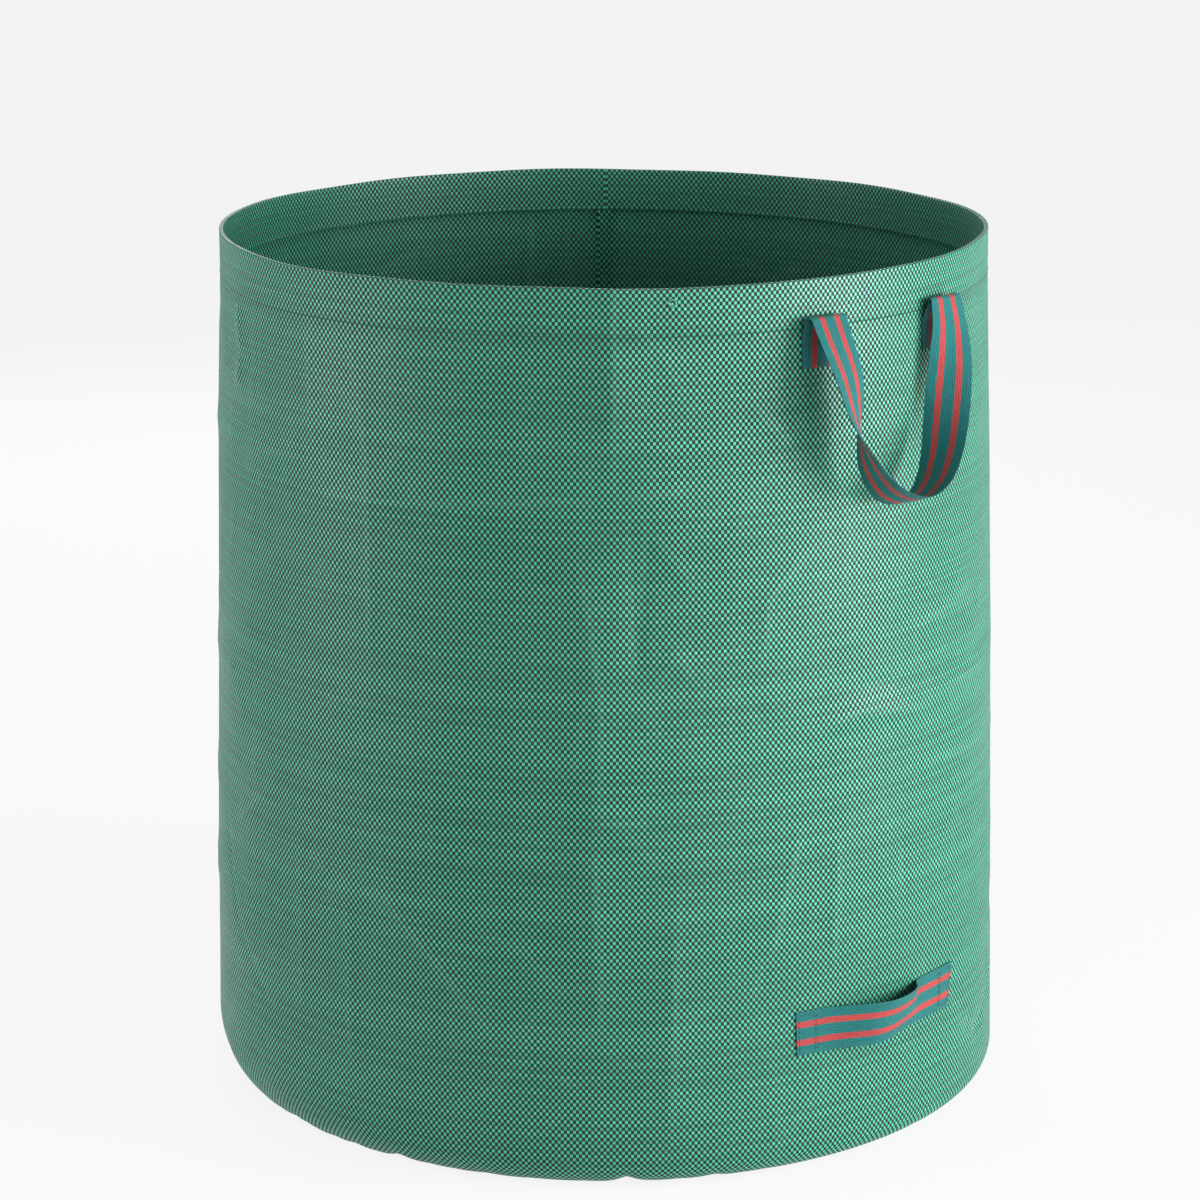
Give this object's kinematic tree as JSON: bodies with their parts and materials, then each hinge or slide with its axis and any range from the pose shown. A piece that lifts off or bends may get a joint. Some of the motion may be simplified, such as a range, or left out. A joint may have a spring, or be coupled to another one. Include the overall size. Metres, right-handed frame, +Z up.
{
  "type": "self-standing garden leaf bag",
  "caption": "Round, open-topped garden bag of woven tape cloth with a stiffened rim, two webbing loops at the rim and two webbing straps near the base.",
  "frame": {"origin": "middle of the base panel's underside, on the ground", "axes": "+Z up, +X towards the right-hand handles, +Y to the back"},
  "size_m": [0.7926, 0.704, 0.76],
  "materials": {
    "woven_cloth": "chequered plain weave of flat green and black polypropylene tapes, laminated and slightly glossy",
    "cloth_edge": "cut edges of the same woven cloth, sewn together",
    "band_plastic": "extruded polypropylene strip",
    "rivet_metal": "lacquered tubular rivet",
    "webbing": "ribbed polypropylene webbing, teal with two red stripes",
    "thread": "twisted dark green polyester sewing thread"
  },
  "bodies": {
    "bag_body": {"wall_panel": "woven_cloth", "side_seam": "cloth_edge", "base_panel": "woven_cloth", "base_seam": "cloth_edge", "side_seam_thread": "thread", "base_seam_thread": "thread"},
    "rim": {"rim_hem": "woven_cloth", "rim_band": "band_plastic", "rim_rivet": "rivet_metal", "right_upper_end_front": "webbing", "right_upper_end_back": "webbing", "left_upper_end_front": "webbing", "left_upper_end_back": "webbing", "rim_thread": "thread", "right_upper_thread_front": "thread", "right_upper_thread_back": "thread", "left_upper_thread_front": "thread", "left_upper_thread_back": "thread"},
    "lower_straps": {"right_lower_end_front": "webbing", "right_lower_end_back": "webbing", "left_lower_end_front": "webbing", "left_lower_end_back": "webbing", "right_lower_thread_front": "thread", "right_lower_thread_back": "thread", "left_lower_thread_front": "thread", "left_lower_thread_back": "thread"},
    "right_upper_handle": {"right_upper_loop": "webbing"},
    "left_upper_handle": {"left_upper_loop": "webbing"},
    "right_lower_handle": {"right_lower_loop": "webbing"},
    "left_lower_handle": {"left_lower_loop": "webbing"}
  },
  "joints": [
    {"name": "rim_slide", "type": "slide", "parent": "bag_body", "child": "rim", "axis": [0, 0, 1], "range_m": [-0.52, 0], "deforming": ["wall_panel", "side_seam", "side_seam_thread"]},
    {"name": "lower_straps_slide", "type": "slide", "parent": "bag_body", "child": "lower_straps", "axis": [0, 0, 1], "range_m": [-0.095, 0]},
    {"name": "right_upper_handle_swing", "type": "hinge", "parent": "rim", "child": "right_upper_handle", "pos_m": [0.33684, 0, 0.7258], "axis": [0, -1, 0], "range_deg": [0, 150]},
    {"name": "left_upper_handle_swing", "type": "hinge", "parent": "rim", "child": "left_upper_handle", "pos_m": [-0.33684, 0, 0.7258], "axis": [0, 1, 0], "range_deg": [0, 150]},
    {"name": "right_lower_handle_swing", "type": "hinge", "parent": "lower_straps", "child": "right_lower_handle", "pos_m": [0.35914, 0, 0.1245], "axis": [0, -1, 0], "range_deg": [-30, 30], "stiffness_Nm_per_rad": 0.02},
    {"name": "left_lower_handle_swing", "type": "hinge", "parent": "lower_straps", "child": "left_lower_handle", "pos_m": [-0.35914, 0, 0.1245], "axis": [0, 1, 0], "range_deg": [-30, 30], "stiffness_Nm_per_rad": 0.02}
  ],
  "couplings": [
    {"joint": "lower_straps_slide", "follows": "rim_slide", "ratio": 0.18}
  ]
}
